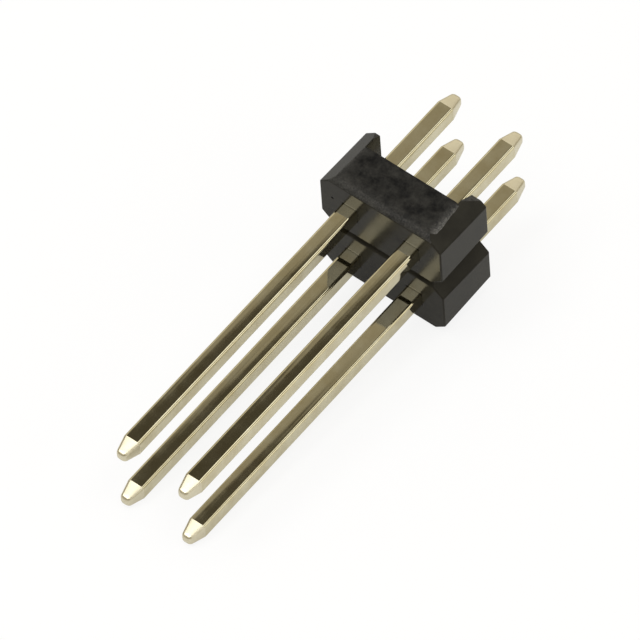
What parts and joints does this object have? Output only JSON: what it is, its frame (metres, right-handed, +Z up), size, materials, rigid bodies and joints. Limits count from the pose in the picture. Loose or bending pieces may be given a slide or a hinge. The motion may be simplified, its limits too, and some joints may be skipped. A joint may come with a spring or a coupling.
{
  "type": "male pin header",
  "caption": "Straight two-row through-hole pin header: square plated pins pressed through a black notched insulator, with long mating ends and short solder tails.",
  "frame": {"origin": "on the surface the header lies on, under the middle of its bounding box", "axes": "+Z up from that surface, +Y towards the solder tails, +X across the two rows; the pins slope down towards the long ends as the header leans on its tips"},
  "size_m": [0.005, 0.018, 0.0052],
  "materials": {
    "insulator_plastic": "satin moulded black, matt where it was broken from the strip",
    "pin_plating": "bright pale gold plating over drawn square wire"
  },
  "bodies": {
    "root": {"insulator": "insulator_plastic", "pin_1": "pin_plating", "pin_2": "pin_plating", "pin_3": "pin_plating", "pin_4": "pin_plating"}
  },
  "joints": []
}
